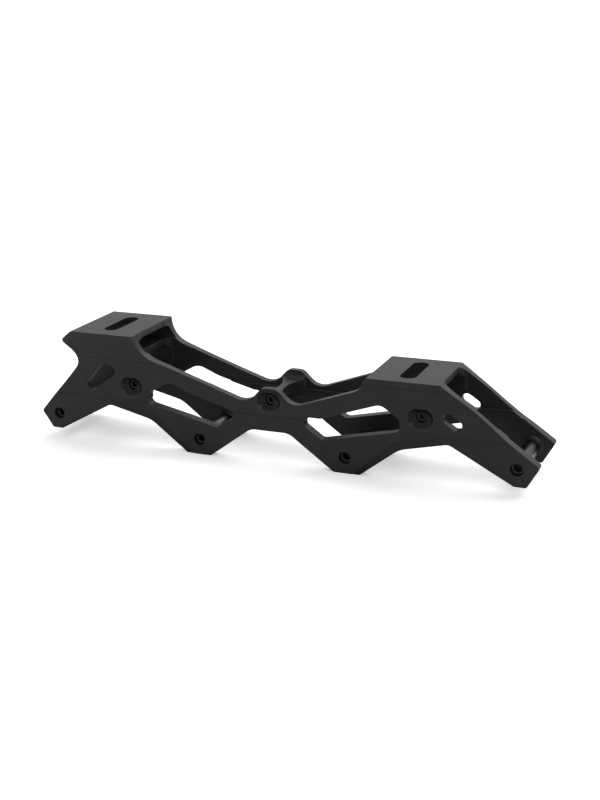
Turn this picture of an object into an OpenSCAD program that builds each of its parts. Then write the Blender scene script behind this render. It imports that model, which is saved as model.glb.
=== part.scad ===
// Inline skate frame: one milled alloy extrusion, four wheel axles and six short set screws.
// X runs from heel to toe, Y across and Z up. The origin lies midway between the end axles,
// on the mid plane, level with the underside of the middle lugs that the frame stands on.

/* [Wheels and axles] */
// Distance between the two end axles
wheelbase = 253; // [247:1:259]
// Distance from an end axle to the axle next to it
end_pitch = 86; // [84:0.5:88]
// Diameter of the two end wheels that the frame is made for
end_wheel = 90; // [88:0.5:91]
// Diameter of the two middle wheels that the frame is made for
mid_wheel = 80; // [78:0.5:80]
// Height of the middle axles above the underside of their lugs
mid_axle_h = 8.2; // [7.9:0.1:8.8]
// Gap between the lugs, which is the width of a wheel's hub
hub_gap = 24; // [23.5:0.1:24.4]
// Diameter of the axle's bearing seat
axle_d = 8; // [7.6:0.1:8.2]
// Diameter of the axle's neck in the far lug
neck_d = 8.4; // [8.3:0.1:8.6]
// Diameter of the axle's screwed end in the near lug
thread_d = 6.4; // [5.8:0.1:6.8]
// How far the screwed end stops short of the lug's outer face
thread_short = 2.4; // [1.8:0.1:2.8]
// Diameter of the axle's head
axle_head_d = 10.6; // [10:0.1:11.4]
// Height of the axle's head
axle_head_t = 2.6; // [2:0.1:2.8]
// Width across the flats of the sockets in the axle's ends
axle_key = 4; // [3.5:0.25:4.5]
// Depth of the sockets in the axle's ends
axle_key_deep = 4.5; // [3:0.5:6]

/* [Boot mounts] */
// Height of the heel plate's top
heel_h = 61.3; // [60.8:0.1:62]
// How far the toe plate lies below the heel plate
heel_drop = 10.4; // [10:0.1:11]
// Length of each plate
plate_l = 37; // [35:0.5:38]
// Thickness of each plate and of the shelf under the heel plate
plate_t = 3.4; // [3:0.1:3.8]
// Distance between the two mounting slots
mount_pitch = 165; // [162:0.5:167]
// How far the middle of the slots lies behind the middle of the frame
mount_back = 12; // [11:0.25:13]
// Width of a mounting slot, along the frame
slot_w = 8.3; // [8:0.1:8.6]
// Length of a mounting slot, across the frame
slot_l = 27; // [24:0.5:28]

/* [Side walls] */
// Distance from the mid plane to the lugs' outer faces
lug_half = 19.4; // [19:0.1:19.8]
// Thickness of the walls at the lugs
wall_t = 5; // [4.8:0.1:5.2]
// Height of the crease above the lugs, where the hollow of each outer face begins
crease_h = 23.9; // [23.2:0.1:24.6]
// Depth of the hollow along each outer face
waist_in = 1.4; // [1.1:0.1:1.6]
// How far below the toe plate's top that hollow ends
waist_end = 2.3; // [1.8:0.1:3]
// How far each wall flares out from there to the heel plate
heel_flare = 2.4; // [2:0.1:2.8]
// Half the width of the milled bay between the plates
bay_half = 14.7; // [14.6:0.1:15]
// Radius of the cutter that milled the bays' corners
bay_round = 4.5; // [3.5:0.25:5.5]
// Half the width of the hollow under the heel plate
chamber_half = 16.2; // [15.8:0.1:16.6]
// How far the ridge inside each wall stands out
ridge_out = 1; // [0.6:0.1:1.2]
// Height of the ridge inside each wall
ridge_t = 3.6; // [3:0.1:4.2]

/* [Arches and lugs] */
// Height of the arch between the middle lugs
mid_arch_h = 17.5; // [16.5:0.25:18]
// Length of the flat top of the arch between the middle lugs
mid_arch_l = 21; // [18:0.5:23]
// Height of the peak of the arch next to an end lug
end_arch_h = 21.6; // [21:0.1:22.1]
// Distance from an end axle in to the peak of the arch
end_arch_in = 32.9; // [31.4:0.5:34.4]
// Length of the underside of a middle lug
mid_foot_l = 13.75; // [12.5:0.25:15]
// Length of the underside of an end lug
end_foot_l = 6; // [5.5:0.25:7]
// Depth of an end lug below its axle
end_foot_drop = 8.6; // [8.2:0.1:9.2]
// How far an end lug's tip reaches past its axle
lug_tip = 11; // [10.5:0.1:12]
// Height of the hump between the middle wheels
hump_h = 39.7; // [39.2:0.1:40.6]
// Length of the hump's top
hump_l = 8; // [7:0.5:9.5]
// Height of the valleys on both sides of the hump, before rounding
valley_h = 31; // [30.4:0.1:31.6]

/* [Pockets and bridges] */
// Distance from one scooped pocket to the next
pocket_pitch = 79.7; // [78.7:0.25:80.7]
// How far the middle pocket lies behind the middle of the frame
pocket_back = 0.6; // [0:0.1:1]
// Height of the pockets' centres
pocket_h = 32.9; // [32.4:0.1:33.4]
// Width of a pocket, along the frame
pocket_w = 13; // [12:0.2:14]
// Height of a pocket's mouth
pocket_t = 9.8; // [9.4:0.1:10.6]
// Depth of a pocket
pocket_deep = 2.2; // [1.8:0.1:2.5]
// Diameter of a set screw
screw_d = 5.2; // [4.8:0.1:5.4]
// Length of a set screw
screw_l = 5.5; // [4.5:0.5:6]
// How far a set screw lies below the pocket's floor
screw_sunk = 1; // [0.6:0.1:1.4]
// Width across the flats of a set screw's socket
screw_key = 3; // [2.5:0.25:3.25]
// Thickness of a bridge at its waist
bridge_waist = 3.6; // [3.2:0.2:4.4]
// Thickness of a bridge at the walls
bridge_root = 14; // [13.5:0.25:15]
// Height of a bridge
bridge_t = 8.8; // [8.4:0.1:9.4]

/* [Hidden] */
$fn = 64;
// Radial gap of an axle or screw in its hole
fit_gap = 0.05;
// Radial gap round an axle's head
head_gap = 0.3;
// Room left round a wheel by the webs
wheel_room = 2;
far = 200;
end_x = wheelbase / 2;
mid_x = end_x - end_pitch;
end_z = mid_axle_h + (end_wheel - mid_wheel) / 2;
toe_h = heel_h - heel_drop;
heel_x = -mount_back - mount_pitch / 2;
toe_x = mount_pitch / 2 - mount_back;
in_half = lug_half - wall_t;
hub_half = hub_gap / 2;
bridge_low = pocket_h - 6.05;
bridge_top = bridge_low + bridge_t;
foot_mid = mid_x + 0.8;
end_foot_mid = end_x + 1.8;
waist_top = toe_h - waist_end;
axle_seat = lug_half - axle_head_t - head_gap;

// The outer half width of a wall at height z: upright at the lugs, an arc above them and
// flared again below the heel plate
function half_at(z) =
    let (rise = (waist_top - crease_h) / 2)
    let (round = (rise * rise + waist_in * waist_in) / (2 * waist_in))
    let (off = min(rise, abs(z - crease_h - rise)))
    let (top = max(0, z - waist_top) / (heel_h - waist_top))
    lug_half - waist_in + round - sqrt(round * round - off * off)
        + heel_flare * pow(top, 1.8);

function unit(v) = v / norm(v);
function flat(p) = [p.x, p.y];
function turned(v, a) = [v.x * cos(a) - v.y * sin(a), v.x * sin(a) + v.y * cos(a)];

// The points that round the corner q, between p and s, to the radius q.z
function corner(p, q, s) =
    let (a = unit(flat(p) - flat(q)))
    let (b = unit(flat(s) - flat(q)))
    let (half = acos(a * b) / 2)
    let (middle = flat(q) + unit(a + b) * q.z / sin(half))
    let (start = flat(q) + a * q.z / tan(half) - middle)
    let (turn = (a.x * b.y - a.y * b.x > 0 ? -1 : 1) * (180 - 2 * half))
    let (steps = max(2, ceil(abs(turn) / 9)))
    q.z == 0 ? [flat(q)] : [for (i = [0:steps]) middle + turned(start, turn * i / steps)];

// A closed outline from its corners, each given as x, y and rounding radius
function rounded(c) =
    let (n = len(c))
    [for (i = [0:n - 1]) each corner(c[(i + n - 1) % n], c[i], c[(i + 1) % n])];

// The corners under one end of the frame, from its tip to the middle arch; side is -1 or 1
// and tip_up is the height of the tip above the end axle
function under(side, tip_up) = [
    [side * (end_x + lug_tip), end_z + tip_up, 1.5],
    [side * (end_foot_mid + end_foot_l / 2), end_z - end_foot_drop, 1.5],
    [side * (end_foot_mid - end_foot_l / 2), end_z - end_foot_drop, 1.5],
    [side * (end_x - end_arch_in), end_arch_h, 3.5],
    [side * (mid_x + 28.2), end_arch_h - 5.75, 14],
    [side * (foot_mid + mid_foot_l / 2), 0, 1.5],
    [side * (foot_mid - mid_foot_l / 2), 0, 1.5],
    [side * mid_arch_l / 2, mid_arch_h, 8]
];

// The corners of the top edge, from the toe's ramp back to the notch behind the heel plate
function over() = [
    [toe_x + 50, toe_h - 23.6, 40],
    [toe_x + 33.5, toe_h - 10.5, 40],
    [toe_x + plate_l / 2, toe_h, 0.8],
    [toe_x - plate_l / 2, toe_h, 0.8],
    [toe_x - plate_l / 2 - 3.8, toe_h - 7.1, 9],
    [hump_l / 2 + 8.5, valley_h + 0.2, 8.6],
    [hump_l / 2, hump_h, 1.5],
    [-hump_l / 2, hump_h, 1.5],
    [-hump_l / 2 - 8.5, valley_h - 0.2, 10],
    [heel_x + plate_l / 2 + 3, heel_h - 10.5, 16],
    [heel_x + plate_l / 2, heel_h, 0.8],
    [heel_x - plate_l / 2, heel_h, 0.8],
    [heel_x - plate_l / 2 - 7.8, heel_h - 5.9, 1.9],
    [heel_x - plate_l / 2 + 4.2, heel_h - 15.5, 6.7]
];

module outline() {
    toe_first = under(1, 2.2);
    last = len(toe_first) - 1;
    polygon(rounded(concat(under(-1, 0.55), [for (i = [last:-1:0]) toe_first[i]], over())));
}

// Both sides of an upright shape, given as the half width at each height
module both_sides(edge) {
    last = len(edge) - 1;
    polygon(concat(edge, [for (i = [last:-1:0]) [-edge[i].x, edge[i].y]]));
}

// The extrusion's section across the frame, before milling
module section() {
    waist_steps = 10;
    heel_steps = 5;
    difference() {
        both_sides(concat(
            [[lug_half, -1]],
            [for (i = [0:waist_steps])
                let (z = crease_h + (waist_top - crease_h) * i / waist_steps)
                [half_at(z), z]],
            [for (i = [1:heel_steps])
                let (z = waist_top + (heel_h - waist_top) * i / heel_steps)
                [half_at(z), z]]
        ));
        polygon(rounded([
            [-in_half, -2, 0],
            [in_half, -2, 0],
            [in_half, toe_h - plate_t, 3],
            [-in_half, toe_h - plate_t, 3]
        ]));
        polygon(rounded([
            [-chamber_half, toe_h, 2],
            [chamber_half, toe_h, 2],
            [chamber_half, heel_h - plate_t, 2],
            [-chamber_half, heel_h - plate_t, 2]
        ]));
    }
    for (side = [-1, 1])
        translate([side * (in_half - ridge_out / 2), bridge_low + ridge_t / 2])
            square([ridge_out + 0.02, ridge_t], center = true);
}

// The third web of the extrusion, with its fillets into the walls
module low_web() {
    fillet = 2.4;
    polygon(rounded([
        [in_half + 0.5, bridge_low - fillet, 0],
        [in_half + 0.5, bridge_top + fillet, 0],
        [in_half, bridge_top + fillet, 0],
        [in_half, bridge_top, fillet],
        [-in_half, bridge_top, fillet],
        [-in_half, bridge_top + fillet, 0],
        [-in_half - 0.5, bridge_top + fillet, 0],
        [-in_half - 0.5, bridge_low - fillet, 0],
        [-in_half, bridge_low - fillet, 0],
        [-in_half, bridge_low, fillet],
        [in_half, bridge_low, fillet],
        [in_half, bridge_low - fillet, 0]
    ]));
}

// What the milling left of the third web: a bridge with its waist hollowed for the wheels
module bridge() {
    hollow = (bridge_root - bridge_waist) / 2;
    round = (in_half * in_half + hollow * hollow) / (2 * hollow);
    intersection() {
        along_x(2 * bridge_root) low_web();
        difference() {
            translate([-bridge_root / 2, -in_half - 1, 0])
                cube([bridge_root, 2 * in_half + 2, far]);
            for (side = [-1, 1])
                translate([side * (bridge_waist / 2 + round), 0, -1])
                    cylinder(r = round, h = far + 2, $fn = 96);
        }
    }
}

// A shape drawn as Y and Z, run along X for the length given, centred
module along_x(length) {
    rotate([90, 0, 90])
        linear_extrude(length, center = true)
            children();
}

// A shape drawn as X and Z, run across the frame
module across(width = far) {
    rotate([90, 0, 0])
        linear_extrude(width, center = true)
            children();
}

// A cylinder across the frame, from one distance off the mid plane to another
module bar(from, to, r1, r2) {
    translate([0, from, 0])
        rotate([-90, 0, 0])
            cylinder(h = to - from, r1 = r1, r2 = r2);
}

// The raised seat that each lug offers to a bearing; side is -1 or 1
module boss(side) {
    step = in_half - 0.4;
    mirror([0, side > 0 ? 1 : 0, 0]) {
        bar(-in_half - 0.2, -step, 11.2, 5.6);
        bar(-step - 0.5, -hub_half, 5.5, 4.8);
    }
}

// The part of the extrusion that stays between the two plates is open from above
module top_bay(from, to) {
    translate([from, -bay_half, bridge_top + 2.5])
        linear_extrude(far)
            polygon(rounded([
                [0, 0, bay_round],
                [to - from, 0, bay_round],
                [to - from, 2 * bay_half, bay_round],
                [0, 2 * bay_half, bay_round]
            ]));
}

module heel_window() {
    polygon(rounded([
        [-69.9, 24.8, 3.5],
        [-69.9, 30.4, 3.5],
        [-57.4, 37.5, 8],
        [-45.2, 32.4, 30],
        [-20.4, 26, 2.2],
        [-20.4, 22, 1.5],
        [-30.2, 16.2, 3.5]
    ]));
}

module toe_window() {
    polygon(rounded([
        [68.9, 25.2, 3],
        [68.9, 31, 3.5],
        [58.8, 37.6, 5.5],
        [27.8, 27.1, 5],
        [19.1, 27.1, 3],
        [19.1, 22.7, 1.5],
        [28.2, 16.2, 3.5]
    ]));
}

module heel_corner_window() {
    polygon(rounded([
        [-96.5, 44.9, 1.2],
        [-85.8, 41, 3.1],
        [-104.6, 28.2, 1.8],
        [-108.2, 31.9, 1.5]
    ]));
}

module toe_corner_window() {
    apart = 4.8;
    r = 2.75;
    translate([95, 32.6])
        rotate(-33) {
            square([apart, 2 * r], center = true);
            for (side = [-1, 1])
                translate([side * apart / 2, 0])
                    circle(r = r);
        }
}

module mount_slot(x) {
    round = 4;
    translate([x, 0, 0])
        linear_extrude(far)
            polygon(rounded([
                [-slot_w / 2, -slot_l / 2, round],
                [slot_w / 2, -slot_l / 2, round],
                [slot_w / 2, slot_l / 2, round],
                [-slot_w / 2, slot_l / 2, round]
            ]));
}

// A scooped pocket of two lobes in the near wall, with its screw hole
module pocket() {
    face = half_at(pocket_h);
    mouth = pocket_t / 2;
    round = (mouth * mouth + pocket_deep * pocket_deep) / (2 * pocket_deep);
    apart = pocket_w - pocket_t;
    for (side = [-1, 1])
        translate([side * apart / 2, -face - round + pocket_deep, 0])
            sphere(r = round, $fn = 48);
    bar(screw_start() - 0.1, screw_start() + screw_l + 0.1, screw_d / 2 + fit_gap,
        screw_d / 2 + fit_gap);
    bar(-face, screw_start(), screw_d / 2 + fit_gap, screw_d / 2 + fit_gap);
}

// Where the i-th pocket from the middle lies along the frame
function pocket_x(i) = i * pocket_pitch - pocket_back;

// Where the outer end of the near side's set screws lies
function screw_start() = -half_at(pocket_h) + pocket_deep + screw_sunk;

// The holes through both lugs for one axle
module axle_holes() {
    thread_r = thread_d / 2 + fit_gap;
    neck_r = neck_d / 2 + fit_gap;
    head_r = axle_head_d / 2 + head_gap;
    bar(-far / 2, -hub_half + 1, thread_r, thread_r);
    bar(hub_half - 1, far / 2, neck_r, neck_r);
    bar(axle_seat, far / 2, head_r, head_r);
}

function axle_spots() = [
    [-end_x, 0, end_z],
    [-mid_x, 0, mid_axle_h],
    [mid_x, 0, mid_axle_h],
    [end_x, 0, end_z]
];

module frame_body() {
    color([0.13, 0.13, 0.14])
        difference() {
            intersection() {
                across() outline();
                union() {
                    difference() {
                        along_x(2 * far) section();
                        top_bay(heel_x + plate_l / 2, toe_x - plate_l / 2);
                        top_bay(toe_x + plate_l / 2, far);
                        translate([-end_x, 0, end_z])
                            bar(-in_half, in_half, end_wheel / 2 + wheel_room,
                                end_wheel / 2 + wheel_room);
                    }
                    for (i = [-1:1])
                        translate([pocket_x(i), 0, 0])
                            bridge();
                    for (spot = axle_spots())
                        translate(spot) {
                            boss(-1);
                            boss(1);
                        }
                }
            }
            across() {
                heel_window();
                toe_window();
                heel_corner_window();
                toe_corner_window();
            }
            mount_slot(heel_x);
            mount_slot(toe_x);
            for (i = [-1:1])
                translate([pocket_x(i), 0, pocket_h]) {
                    pocket();
                    mirror([0, 1, 0]) pocket();
                }
            for (spot = axle_spots())
                translate(spot) axle_holes();
        }
}

// An axle, with its head in the far lug and its screwed end in the near one
module axle(spot) {
    socket_r = axle_key / 2 / cos(30);
    tip = -lug_half + thread_short;
    head_top = axle_seat + axle_head_t;
    translate(spot)
        difference() {
            union() {
                bar(tip, -hub_half, thread_d / 2, thread_d / 2);
                bar(-hub_half, hub_half, axle_d / 2, axle_d / 2);
                bar(hub_half, axle_seat, neck_d / 2, neck_d / 2);
                bar(axle_seat, head_top, axle_head_d / 2, axle_head_d / 2);
            }
            translate([0, head_top - axle_key_deep, 0])
                rotate([-90, 0, 0])
                    cylinder(h = axle_key_deep + 1, r = socket_r, $fn = 6);
            translate([0, tip + axle_key_deep, 0])
                rotate([90, 0, 0])
                    cylinder(h = axle_key_deep + 1, r = socket_r, $fn = 6);
        }
}

module rear_axle() {
    color([0.8, 0.8, 0.82]) axle(axle_spots()[0]);
}

module second_axle() {
    color([0.8, 0.8, 0.82]) axle(axle_spots()[1]);
}

module third_axle() {
    color([0.8, 0.8, 0.82]) axle(axle_spots()[2]);
}

module front_axle() {
    color([0.8, 0.8, 0.82]) axle(axle_spots()[3]);
}

// The two set screws of one station, the i-th from the middle
module screw_pair(i) {
    socket_r = screw_key / 2 / cos(30);
    socket_deep = screw_l / 2;
    for (side = [0, 1])
        mirror([0, side, 0])
            translate([pocket_x(i), 0, pocket_h])
                difference() {
                    bar(screw_start(), screw_start() + screw_l, screw_d / 2, screw_d / 2);
                    translate([0, screw_start() + socket_deep, 0])
                        rotate([90, 0, 0])
                            cylinder(h = socket_deep + 1, r = socket_r, $fn = 6);
                }
}

module heel_screws() {
    color([0.2, 0.2, 0.21]) screw_pair(-1);
}

module middle_screws() {
    color([0.2, 0.2, 0.21]) screw_pair(0);
}

module toe_screws() {
    color([0.2, 0.2, 0.21]) screw_pair(1);
}

frame_body();
rear_axle();
second_axle();
third_axle();
front_axle();
heel_screws();
middle_screws();
toe_screws();
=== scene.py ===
import math

import bmesh
import bpy
from mathutils import Matrix, Vector


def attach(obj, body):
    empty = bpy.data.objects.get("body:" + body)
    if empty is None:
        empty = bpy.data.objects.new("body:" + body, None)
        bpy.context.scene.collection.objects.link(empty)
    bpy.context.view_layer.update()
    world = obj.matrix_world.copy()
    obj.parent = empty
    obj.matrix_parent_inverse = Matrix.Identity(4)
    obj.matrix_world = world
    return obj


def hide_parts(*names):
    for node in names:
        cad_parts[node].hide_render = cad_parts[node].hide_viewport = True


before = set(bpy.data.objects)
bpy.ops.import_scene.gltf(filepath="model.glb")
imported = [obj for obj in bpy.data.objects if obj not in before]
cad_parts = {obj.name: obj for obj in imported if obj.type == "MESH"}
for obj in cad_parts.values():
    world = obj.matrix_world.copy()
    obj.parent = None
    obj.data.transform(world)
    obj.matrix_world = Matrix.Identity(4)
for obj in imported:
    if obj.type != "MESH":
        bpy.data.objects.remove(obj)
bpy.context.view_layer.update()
scene = bpy.context.scene


# The camera stands in front of the toe, on the screwed side of the axles, and looks a little
# down on the frame. Its place and lens were worked out from the axles, plates and slots.
eye = bpy.data.cameras.new("camera")
eye.lens = 53.536
eye.sensor_width = 36
eye.clip_start = 0.01
eye.clip_end = 100
camera = bpy.data.objects.new("camera", eye)
scene.collection.objects.link(camera)
camera.location = (0.24255, -0.52859, 0.22626)
camera.rotation_euler = [math.radians(a) for a in (71.1367, 1.7294, 23.2598)]
scene.camera = camera


# A pale table that the frame stands on, in a white room: one wide soft lamp overhead from
# behind and a weaker one from the toe side, with the room's own light filling the rest.
def material(name):
    """A new material with one surface shader: it, its tree and the shader"""
    made = bpy.data.materials.new(name)
    made.use_nodes = True
    nodes = made.node_tree.nodes
    nodes.clear()
    out = nodes.new("ShaderNodeOutputMaterial")
    shader = nodes.new("ShaderNodeBsdfPrincipled")
    made.node_tree.links.new(shader.outputs[0], out.inputs[0])
    return made, made.node_tree, shader


scene.view_settings.view_transform = "Standard"
world = bpy.data.worlds.new("room")
scene.world = world
world.use_nodes = True
tree = world.node_tree
tree.nodes.clear()
room = tree.nodes.new("ShaderNodeBackground")
white = tree.nodes.new("ShaderNodeBackground")
room.inputs["Color"].default_value = (1, 1, 1, 1)
room.inputs["Strength"].default_value = 0.55
white.inputs["Color"].default_value = (1, 1, 1, 1)
white.inputs["Strength"].default_value = 1.0
rays = tree.nodes.new("ShaderNodeLightPath")
seen = tree.nodes.new("ShaderNodeMath")
seen.operation = "MAXIMUM"
tree.links.new(rays.outputs["Is Camera Ray"], seen.inputs[0])
tree.links.new(rays.outputs["Is Transmission Ray"], seen.inputs[1])
shown = tree.nodes.new("ShaderNodeMath")
shown.operation = "MAXIMUM"
tree.links.new(seen.outputs[0], shown.inputs[0])
tree.links.new(rays.outputs["Is Glossy Ray"], shown.inputs[1])
mix = tree.nodes.new("ShaderNodeMixShader")
tree.links.new(shown.outputs[0], mix.inputs[0])
tree.links.new(room.outputs[0], mix.inputs[1])
tree.links.new(white.outputs[0], mix.inputs[2])
out = tree.nodes.new("ShaderNodeOutputWorld")
tree.links.new(mix.outputs[0], out.inputs[0])

lamp = bpy.data.lights.new("overhead", "SUN")
lamp.energy = 1.9
lamp.angle = math.radians(60)
hung = bpy.data.objects.new("overhead", lamp)
scene.collection.objects.link(hung)
hung.rotation_euler = (math.radians(-30), math.radians(14), 0)

low = bpy.data.lights.new("window", "SUN")
low.energy = 0.45
low.angle = math.radians(30)
stood = bpy.data.objects.new("window", low)
scene.collection.objects.link(stood)
stood.rotation_euler = (math.radians(34), math.radians(40), 0)

table_mesh = bpy.data.meshes.new("table")
reach = 8
table_mesh.from_pydata([(-reach, -reach, 0), (reach, -reach, 0), (reach, reach, 0),
                        (-reach, reach, 0)], [], [(0, 1, 2, 3)])
table = bpy.data.objects.new("table", table_mesh)
scene.collection.objects.link(table)
made, tree, shader = material("pale_table")
shader.inputs["Base Color"].default_value = (0.92, 0.92, 0.92, 1)
shader.inputs["Roughness"].default_value = 0.9
shader.inputs["Specular IOR Level"].default_value = 0.1
rays = tree.nodes.new("ShaderNodeLightPath")
lift = tree.nodes.new("ShaderNodeMath")
lift.operation = "MULTIPLY"
lift.inputs[1].default_value = 0.34
tree.links.new(rays.outputs["Is Camera Ray"], lift.inputs[0])
shader.inputs["Emission Color"].default_value = (1, 1, 1, 1)
tree.links.new(lift.outputs[0], shader.inputs["Emission Strength"])
table_mesh.materials.append(made)


# Frame body: one extrusion of light alloy, sawn to length, milled to its outline with its
# windows, bays and scooped pockets, then deburred, bead blasted and anodised a satin black.
# A shallow band is relieved beside each end arch, and the hump's upper corners are rounded.
def prism(name, points, near, far):
    """A closed block with this outline in the upright plane, in mm, from near to far across"""
    bm = bmesh.new()
    rows = [[bm.verts.new((x / 1000, y / 1000, z / 1000)) for x, z in points]
            for y in (near, far)]
    bm.faces.new(rows[0])
    bm.faces.new(list(reversed(rows[1])))
    count = len(points)
    for i in range(count):
        j = (i + 1) % count
        bm.faces.new((rows[0][j], rows[0][i], rows[1][i], rows[1][j]))
    bmesh.ops.recalc_face_normals(bm, faces=bm.faces)
    mesh = bpy.data.meshes.new(name)
    bm.to_mesh(mesh)
    bm.free()
    block = bpy.data.objects.new(name, mesh)
    scene.collection.objects.link(block)
    return block


relief_edge = [(44.3, 0), (48.6, 4), (57.8, 12.1), (66.2, 19.7), (70.7, 21.2), (77, 22.6),
               (83.2, 23.6), (86.9, 23.8), (92.5, 21.3), (92.5, -1), (44.3, -1)]
relief_face = 19.08
past_walls = 30
hump_round = 5
hump_corner = (4, 39.7)
turn = math.radians(45)
reach_back = hump_round * math.tan(turn / 2)
arc = []
for step in range(9):
    a = turn * step / 8
    arc.append((hump_corner[0] - reach_back + hump_round * math.sin(a),
                hump_corner[1] - hump_round + hump_round * math.cos(a)))
corner_bit = arc + [(12, 36), (12, 42), (arc[0][0], 42)]

body = bpy.data.objects.new("milled_body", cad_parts["frame_body"].data.copy())
scene.collection.objects.link(body)
bm = bmesh.new()
bm.from_mesh(body.data)
bmesh.ops.remove_doubles(bm, verts=bm.verts, dist=2e-5)
bmesh.ops.dissolve_degenerate(bm, edges=bm.edges, dist=2e-5)
bm.to_mesh(body.data)
bm.free()
cutters = []
for side in (-1, 1):
    edge = [(side * x, z) for x, z in relief_edge]
    cutters.append(prism("relief", edge, relief_face, past_walls))
    cutters.append(prism("relief", edge, -past_walls, -relief_face))
    cutters.append(prism("hump", [(side * x, z) for x, z in corner_bit],
                         -past_walls, past_walls))
for cutter in cutters:
    cut = body.modifiers.new("cut", "BOOLEAN")
    cut.object = cutter
    cut.solver = "EXACT"
bpy.context.view_layer.update()
worked = bpy.data.meshes.new_from_object(
    body.evaluated_get(bpy.context.evaluated_depsgraph_get()))
body.modifiers.clear()
body.data = worked
body.data.shade_smooth()
for cutter in cutters:
    bpy.data.objects.remove(cutter)
bm = bmesh.new()
bm.from_mesh(body.data)
# The cuts leave a sliver along the crease: its points are brought onto the one line
crease = Vector((0, 0.0194, 0.0239))
sliver_y, sliver_z = 6e-5, 0.00015
for point in bm.verts:
    if (abs(abs(point.co.y) - crease.y) < sliver_y
            and abs(point.co.z - crease.z) < sliver_z):
        point.co.y = math.copysign(crease.y, point.co.y)
        point.co.z = crease.z
bmesh.ops.remove_doubles(bm, verts=bm.verts, dist=9e-5)
bmesh.ops.dissolve_degenerate(bm, edges=bm.edges, dist=5e-5)
bmesh.ops.dissolve_limit(bm, angle_limit=math.radians(1), verts=bm.verts, edges=bm.edges)
# Only outward corners are deburred. The crease above the lugs stays a crisp line.
least_corner = math.radians(30)
crease_out, crease_low, crease_top = 0.0193, 0.0237, 0.0242
rounded = bm.edges.layers.float.new("bevel_weight_edge")
for edge in bm.edges:
    if edge.is_convex and edge.calc_face_angle(0) > least_corner:
        edge[rounded] = 1
    ends = [v.co for v in edge.verts]
    if all(abs(c.y) > crease_out and crease_low < c.z < crease_top for c in ends):
        edge.smooth = False
bm.to_mesh(body.data)
bm.free()
edge_round = body.modifiers.new("deburred", "BEVEL")
edge_round.width = 0.00013
edge_round.segments = 2
edge_round.limit_method = "WEIGHT"
edge_round.use_clamp_overlap = False
edge_round.material = 1
even = body.modifiers.new("even", "WEIGHTED_NORMAL")
even.keep_sharp = True
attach(body, "frame")
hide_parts("frame_body")


def grain(tree, scale, stretch=(1, 1, 1), detail=3):
    """Noise fixed to the piece, in cells of about 1/scale metre, drawn out by stretch"""
    place = tree.nodes.new("ShaderNodeTexCoord")
    fit = tree.nodes.new("ShaderNodeMapping")
    fit.inputs["Scale"].default_value = stretch
    noise = tree.nodes.new("ShaderNodeTexNoise")
    noise.inputs["Scale"].default_value = scale
    noise.inputs["Detail"].default_value = detail
    tree.links.new(place.outputs["Object"], fit.inputs["Vector"])
    tree.links.new(fit.outputs["Vector"], noise.inputs["Vector"])
    return noise.outputs["Fac"]


def spread(tree, value, low, high, start=0.3, end=0.7):
    """value from start to end becomes low to high"""
    ranged = tree.nodes.new("ShaderNodeMapRange")
    ranged.inputs["From Min"].default_value = start
    ranged.inputs["From Max"].default_value = end
    ranged.inputs["To Min"].default_value = low
    ranged.inputs["To Max"].default_value = high
    tree.links.new(value, ranged.inputs["Value"])
    return ranged.outputs["Result"]


def blended(tree, value, first, second):
    """A colour between first and second"""
    mix = tree.nodes.new("ShaderNodeMix")
    mix.data_type = "RGBA"
    mix.inputs[6].default_value = (*first, 1)
    mix.inputs[7].default_value = (*second, 1)
    tree.links.new(value, mix.inputs[0])
    return mix.outputs[2]


def sums(tree, operation, *values):
    """One arithmetic node; each value is a number or a socket"""
    node = tree.nodes.new("ShaderNodeMath")
    node.operation = operation
    for i, value in enumerate(values):
        if isinstance(value, (int, float)):
            node.inputs[i].default_value = value
        else:
            tree.links.new(value, node.inputs[i])
    return node.outputs[0]


def bumps(tree, shader, *layers):
    """Each layer is (height, depth in metres, strength), laid one over the other"""
    under = None
    for height, depth, strength in layers:
        bump = tree.nodes.new("ShaderNodeBump")
        bump.inputs["Distance"].default_value = depth
        bump.inputs["Strength"].default_value = strength
        tree.links.new(height, bump.inputs["Height"])
        if under:
            tree.links.new(under, bump.inputs["Normal"])
        under = bump.outputs["Normal"]
    tree.links.new(under, shader.inputs["Normal"])


made, tree, shader = material("satin_black_anodised")
place = tree.nodes.new("ShaderNodeTexCoord")
apart = tree.nodes.new("ShaderNodeSeparateXYZ")
tree.links.new(place.outputs["Object"], apart.inputs[0])
x, y, z = apart.outputs
across = sums(tree, "ABSOLUTE", y)
along = sums(tree, "ABSOLUTE", x)
clouds = grain(tree, 70)
blast = grain(tree, 2600, detail=2)
drawn = grain(tree, 900, (0.012, 1, 1), 2)
# How far out the lugs, the relieved bands and the walls' inner sides lie
lug_out = 0.0185
band_in, band_out = 0.01895, 0.0192
inner_side, outer_side = 0.0125, 0.0165
# Faint rings that the facing cutter left round the middle axles
ring_x, ring_z, ring_edge, ring_waves = 0.0405, 0.0082, 0.0104, 7800
off = sums(tree, "SUBTRACT", along, ring_x)
high = sums(tree, "SUBTRACT", z, ring_z)
ring = sums(tree, "SQRT", sums(tree, "ADD", sums(tree, "POWER", off, 2),
            sums(tree, "POWER", high, 2)))
waves = sums(tree, "SINE", sums(tree, "MULTIPLY", ring, ring_waves))
faced = sums(tree, "MULTIPLY", sums(tree, "LESS_THAN", ring, ring_edge),
             sums(tree, "GREATER_THAN", across, lug_out))
relieved = sums(tree, "MULTIPLY", sums(tree, "GREATER_THAN", across, band_in),
                sums(tree, "LESS_THAN", across, band_out))
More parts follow.
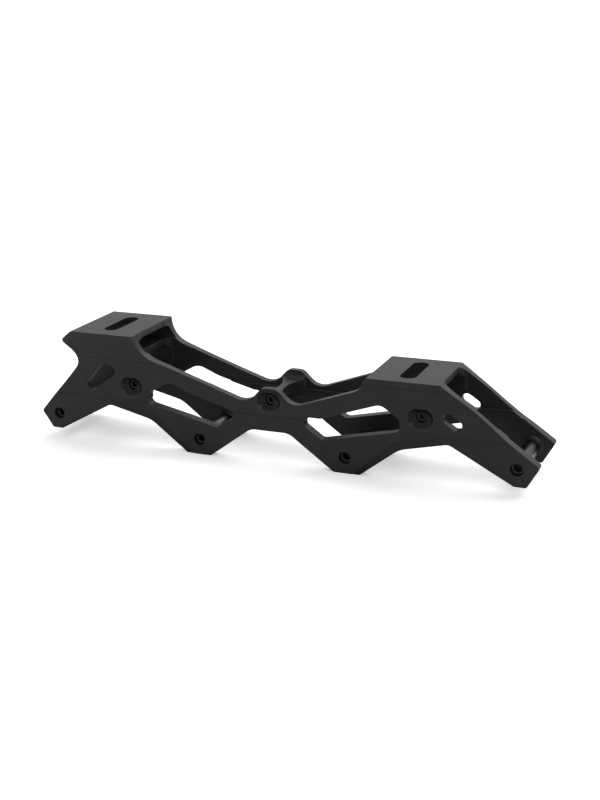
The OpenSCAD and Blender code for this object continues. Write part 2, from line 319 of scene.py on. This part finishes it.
# The extrusion's drawn lines stay on the upright inner sides
level = 0.8
facing = tree.nodes.new("ShaderNodeSeparateXYZ")
tree.links.new(place.outputs["Normal"], facing.inputs[0])
upright = sums(tree, "LESS_THAN", sums(tree, "ABSOLUTE", facing.outputs[2]), level)
inner = sums(tree, "MULTIPLY", spread(tree, across, 1, 0.08, inner_side, outer_side),
             upright)
shade = blended(tree, spread(tree, clouds, 0, 1), (0.0062, 0.0058, 0.0054),
                (0.0105, 0.01, 0.0094))
dim = tree.nodes.new("ShaderNodeMix")
dim.data_type = "RGBA"
dim.blend_type = "MULTIPLY"
tree.links.new(relieved, dim.inputs[0])
tree.links.new(shade, dim.inputs[6])
dim.inputs[7].default_value = (0.25, 0.25, 0.25, 1)
tree.links.new(dim.outputs[2], shader.inputs["Base Color"])
worked_rough = sums(tree, "ADD", spread(tree, drawn, 0.42, 0.48), spread(tree, blast, -0.03, 0.04))
rough = sums(tree, "SUBTRACT", worked_rough, sums(tree, "MULTIPLY", relieved, 0.2))
tree.links.new(rough, shader.inputs["Roughness"])
shader.inputs["Specular IOR Level"].default_value = 0.25
bumps(tree, shader, (blast, 0.00003, 0.35),
      (sums(tree, "MULTIPLY", drawn, inner), 0.00005, 0.5),
      (sums(tree, "MULTIPLY", waves, faced), 0.000006, 0.5))

# The deburred edges: the black coat is thinner there and the alloy shows through in places
worn, tree, shader = material("thin_edge_coat")
rub = grain(tree, 420, (0.5, 1, 1), 4)
tree.links.new(blended(tree, spread(tree, rub, 0, 1, 0.4, 0.68), (0.009, 0.0087, 0.0083),
                       (0.032, 0.031, 0.0295)), shader.inputs["Base Color"])
tree.links.new(spread(tree, rub, 0.42, 0.3), shader.inputs["Roughness"])
shader.inputs["Specular IOR Level"].default_value = 0.3
bumps(tree, shader, (grain(tree, 3200, detail=2), 0.00002, 0.3))
# The scoops were cut last, with a ball cutter: no blasting, and a smoother coat. Their much
# darker colour and weaker gloss are painted shade, standing in for the shade in the pockets.
scoop, tree, shader = material("ball_cut_painted_shade")
marks = grain(tree, 1500, detail=2)
tree.links.new(blended(tree, spread(tree, marks, 0, 1), (0.0016, 0.0015, 0.0014),
                       (0.003, 0.0028, 0.0026)), shader.inputs["Base Color"])
tree.links.new(spread(tree, marks, 0.24, 0.32), shader.inputs["Roughness"])
shader.inputs["Specular IOR Level"].default_value = 0.16
bumps(tree, shader, (marks, 0.00002, 0.3))
body.data.materials.clear()
for coat in (made, worn, scoop):
    body.data.materials.append(coat)
# Painted shade: the outward faces inside each scoop take the darker coat above.
scoop_pitch = 0.0797
scoop_x, scoop_z = -0.0006, 0.0329
scoop_half = (0.0066, 0.005)
largest_facet = 6e-5
inwards = -0.05
for face in body.data.polygons:
    x, y, z = face.center
    step = round((x - scoop_x) / scoop_pitch) * scoop_pitch
    round_it = math.hypot((x - scoop_x - step) / scoop_half[0],
                          (z - scoop_z) / scoop_half[1])
    looks_out = face.normal.y * math.copysign(1, y) > inwards
    if (round_it < 1 and abs(y) > inner_side and looks_out
            and face.area < largest_facet):
        face.material_index = 2


# Axles: turned from hardened steel and ground on the bearing seat, with a thread at the near
# end that screws into the near lugs, a shoulder and a round head sunk in the far lugs, and a
# hexagon socket in both ends. The steel's colour is painted far darker than bare steel, as
# painted shade for the space between the walls, and thread, neck and sockets are painted near
# black as painted shade.
def turned(name, rings, spokes=36):
    """A turned piece lying across; each ring is (place, radius, form) in mm"""
    bm = bmesh.new()
    rows = []
    for y, r, form in rings:
        row = []
        for s in range(spokes):
            a = 2 * math.pi * s / spokes
            reach = r
            if form == "hex":
                fold = (a + math.pi / 6) % (math.pi / 3) - math.pi / 6
                reach = r / math.cos(fold)
            elif isinstance(form, tuple):
                lead, deep = form
                turn_at = (y / lead + s / spokes) % 1
                reach = r - deep * (1 - abs(2 * turn_at - 1))
            row.append(bm.verts.new((reach * math.cos(a) / 1000, y / 1000,
                                     reach * math.sin(a) / 1000)))
        rows.append(row)
    for first, second in zip(rows, rows[1:]):
        for s in range(spokes):
            n = (s + 1) % spokes
            bm.faces.new((first[s], first[n], second[n], second[s]))
    for row, y in ((rows[0], rings[0][0]), (rows[-1], rings[-1][0])):
        middle = bm.verts.new((0, y / 1000, 0))
        for s in range(spokes):
            bm.faces.new((row[s], row[(s + 1) % spokes], middle))
    bmesh.ops.recalc_face_normals(bm, faces=bm.faces)
    mesh = bpy.data.meshes.new(name)
    bm.to_mesh(mesh)
    bm.free()
    mesh.shade_smooth()
    mesh.set_sharp_from_angle(angle=math.radians(32))
    return mesh


key = 4 / 2
lead = 0.8
rings = [(-12.5, key * 0.96, "hex"), (-16.75, key, "hex"), (-17, 2.45, None), (-17, 2.75, None),
         (-16.6, 3.15, None)]
y = -16.5
while y < -12.6:
    rings.append((y, 3.2, (lead, 0.38)))
    y += lead / 6
rings += [(-12.5, 2.85, None), (-12, 2.85, None), (-12, 3.85, None), (-11.85, 4, None),
          (11.99, 4, None), (12, 4.05, None), (12.15, 4.2, None), (16.5, 4.2, None),
          (16.5, 5.15, None), (16.65, 5.3, None), (18.75, 5.3, None), (19.02, 5.15, None),
          (19.1, 4.9, None), (19.1, 2.75, None), (18.85, key, "hex"),
          (14.6, key * 0.96, "hex")]
axle_mesh = turned("turned_axle", rings)

steel, tree, shader = material("ground_steel_painted_shade")
place = tree.nodes.new("ShaderNodeTexCoord")
apart = tree.nodes.new("ShaderNodeSeparateXYZ")
tree.links.new(place.outputs["Object"], apart.inputs[0])
x, y, z = apart.outputs
thread_from = -0.0119
neck_middle, neck_half = 0.0143, 0.0022
socket_radius = 0.0024
# Painted shade: thread, neck and sockets, which sit deep in the lugs, turn near black, less
# metallic and rougher.
shaded_ends = sums(tree, "MAXIMUM", sums(tree, "LESS_THAN", y, thread_from),
                 sums(tree, "COMPARE", y, neck_middle, neck_half))
out_r = sums(tree, "SQRT", sums(tree, "ADD", sums(tree, "POWER", x, 2),
             sums(tree, "POWER", z, 2)))
in_socket = sums(tree, "LESS_THAN", out_r, socket_radius)
painted_shade_mask = sums(tree, "MAXIMUM", shaded_ends, in_socket)
ground = grain(tree, 4200, (1, 0.35, 1), 2)
lathe = grain(tree, 5200, (0.02, 1, 0.02), 2)
smear = grain(tree, 260)
# Painted shade: the steel's colour is far darker than bare steel, for the shade between the walls;
# the noise varies it at random.
mix = tree.nodes.new("ShaderNodeMix")
mix.data_type = "RGBA"
tree.links.new(painted_shade_mask, mix.inputs[0])
tree.links.new(blended(tree, spread(tree, smear, 0, 1), (0.034, 0.0335, 0.0325),
                       (0.05, 0.049, 0.0475)), mix.inputs[6])
mix.inputs[7].default_value = (0.011, 0.011, 0.012, 1)
tree.links.new(mix.outputs[2], shader.inputs["Base Color"])
tree.links.new(sums(tree, "SUBTRACT", 1, sums(tree, "MULTIPLY", painted_shade_mask, 0.75)),
               shader.inputs["Metallic"])
tree.links.new(sums(tree, "ADD", spread(tree, ground, 0.24, 0.29),
                    sums(tree, "MULTIPLY", painted_shade_mask, 0.2)), shader.inputs["Roughness"])
bumps(tree, shader, (lathe, 0.000004, 0.3), (ground, 0.000002, 0.2))
axle_mesh.materials.append(steel)
for name, x, z in (("rear_axle", -126.5, 13.2), ("second_axle", -40.5, 8.2),
                   ("third_axle", 40.5, 8.2), ("front_axle", 126.5, 13.2)):
    axle = bpy.data.objects.new("turned_" + name, axle_mesh)
    scene.collection.objects.link(axle)
    axle.location = (x / 1000, 0, z / 1000)
    bpy.context.view_layer.update()
    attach(axle, name)
    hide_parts(name)


# Set screws: short threaded studs of black-oxide steel, one in each scooped pocket on both
# walls, driven in below the scoop with a hexagon key.
key = 3 / 2
lead = 0.8
rings = [(2.72, key * 0.94, "hex"), (0.2, key, "hex"), (0, 1.85, None), (0, 2.15, None),
         (0.35, 2.5, None)]
y = 0.45
while y < 5.0:
    rings.append((y, 2.6, (lead, 0.36)))
    y += lead / 6
rings += [(5.1, 2.2, None), (5.5, 1.7, None), (5.5, 0.9, None), (5.2, 0.5, None)]
screw_mesh = turned("set_screw", rings, 24)
black, tree, shader = material("black_oxide_steel")
pit = grain(tree, 1900, detail=3)
rub = grain(tree, 500)
tree.links.new(blended(tree, spread(tree, rub, 0, 1, 0.45, 0.7), (0.007, 0.007, 0.0075),
                       (0.03, 0.029, 0.028)), shader.inputs["Base Color"])
shader.inputs["Metallic"].default_value = 0.4
tree.links.new(spread(tree, pit, 0.32, 0.5), shader.inputs["Roughness"])
bumps(tree, shader, (pit, 0.000012, 0.4))
screw_pitch, screw_x = 79.7, -0.6
screw_out, screw_up = 0.0149, 0.0329
for name, step in (("heel_screws", -1), ("middle_screws", 0), ("toe_screws", 1)):
    bm = bmesh.new()
    for side in (1, -1):
        start = len(bm.verts)
        bm.from_mesh(screw_mesh)
        bm.verts.ensure_lookup_table()
        new = bm.verts[start:]
        turn_over = Matrix.Rotation(0 if side == 1 else math.pi, 4, "Z")
        spot = Vector(((step * screw_pitch + screw_x) / 1000, -side * screw_out, screw_up))
        bmesh.ops.transform(bm, matrix=Matrix.Translation(spot) @ turn_over, verts=new)
    mesh = bpy.data.meshes.new("pair_" + name)
    bm.to_mesh(mesh)
    bm.free()
    mesh.materials.append(black)
    pair = bpy.data.objects.new("pair_of_" + name, mesh)
    scene.collection.objects.link(pair)
    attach(pair, "frame")
    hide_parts(name)
bpy.data.meshes.remove(screw_mesh)
